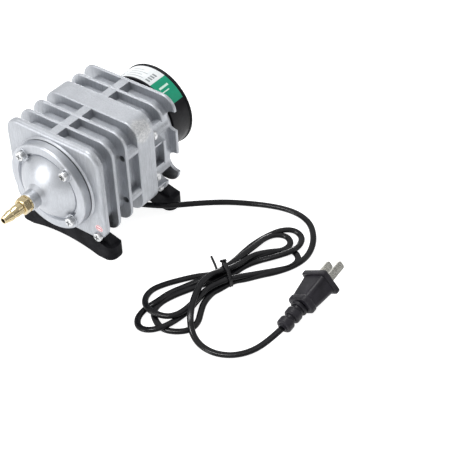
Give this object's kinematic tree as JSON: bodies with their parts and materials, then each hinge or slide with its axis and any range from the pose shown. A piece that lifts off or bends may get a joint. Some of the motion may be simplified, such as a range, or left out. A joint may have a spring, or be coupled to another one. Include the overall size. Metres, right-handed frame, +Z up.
{
  "type": "air pump",
  "caption": "Electromagnetic piston air pump: finned cast body on arched feet, domed head with brass hose nozzle, silencer cap with label, flat mains cord tied in a hank, two-pin plug.",
  "frame": {"origin": "centre of the pump's bounding box (without the free cord) at the floor that its feet stand on", "axes": "+X towards the pump's right side, +Y from the outlet nozzle to the silencer cap, +Z up"},
  "size_m": [0.2575, 0.1828, 0.0978],
  "materials": {
    "housing_aluminium": "cast, satin",
    "head_aluminium": "smooth, satin",
    "screw_steel": "zinc plated",
    "spring_steel": "satin",
    "liner_steel": "ground",
    "lamination": "matte",
    "magnet": "matte",
    "copper_wire": "enamelled",
    "nozzle_brass": "turned",
    "gasket": "matte",
    "foot_rubber": "moulded, matte",
    "cap_plastic": "satin",
    "white_plastic": "matte",
    "filter_foam": "open foam",
    "label_paper": "printed",
    "cord_pvc": "satin",
    "tie_plastic": "satin",
    "plug_pvc": "satin",
    "blade_metal": "plain"
  },
  "bodies": {
    "pump_body": {"front_housing": "housing_aluminium", "rear_housing": "housing_aluminium", "housing_gasket": "gasket", "cylinder_head": "head_aluminium", "head_gasket": "gasket", "head_screws": "screw_steel", "head_spring_washers": "screw_steel", "silencer_cap": "cap_plastic", "silencer_gasket": "gasket", "silencer_filter": "filter_foam", "silencer_screw": "screw_steel", "cap_label": "label_paper", "valve_plate": "head_aluminium", "outlet_reed_stop": "spring_steel", "outlet_reed_screw": "screw_steel", "cylinder_liner": "liner_steel", "front_spring": "spring_steel", "rear_spring": "spring_steel", "spring_seat": "white_plastic", "guide_bush": "white_plastic", "stator_core_right": "lamination", "bobbin_right": "white_plastic", "winding_right": "copper_wire", "stator_core_left": "lamination", "bobbin_left": "white_plastic", "winding_left": "copper_wire", "terminal_block": "white_plastic", "housing_screws": "screw_steel", "housing_spring_washers": "screw_steel", "front_foot": "foot_rubber", "rear_foot": "foot_rubber", "foot_screws": "screw_steel", "outlet_nozzle": "nozzle_brass", "inspection_sticker": "label_paper", "cord_gland": "cord_pvc", "cord_run": "cord_pvc", "cord_tail": "cord_pvc", "cord_hank": "cord_pvc", "cord_tie": "tie_plastic", "plug_strain_relief": "plug_pvc", "plug_body": "plug_pvc", "plug_blades": "blade_metal"},
    "piston_assembly": {"piston": "head_aluminium", "piston_ring": "white_plastic", "piston_rod": "liner_steel", "intake_reed_screw": "screw_steel", "armature_core": "lamination", "armature_magnets": "magnet"},
    "outlet_reed_flap": {"outlet_reed": "spring_steel"},
    "intake_reed_flap": {"intake_reed": "spring_steel"}
  },
  "joints": [
    {"name": "piston_stroke", "type": "slide", "parent": "pump_body", "child": "piston_assembly", "axis": [0, 1, 0], "range_m": [-0.0035, 0.0035], "stiffness_N_per_m": 8000, "deforming": ["front_spring", "rear_spring"]},
    {"name": "outlet_reed_bend", "type": "hinge", "parent": "pump_body", "child": "outlet_reed_flap", "pos_m": [0, -0.03385, 0.0542], "axis": [1, 0, 0], "range_deg": [0, 7], "stiffness_Nm_per_rad": 0.002},
    {"name": "intake_reed_bend", "type": "hinge", "parent": "piston_assembly", "child": "intake_reed_flap", "pos_m": [0, -0.02475, 0.054], "axis": [1, 0, 0], "range_deg": [0, 6], "stiffness_Nm_per_rad": 0.002}
  ]
}
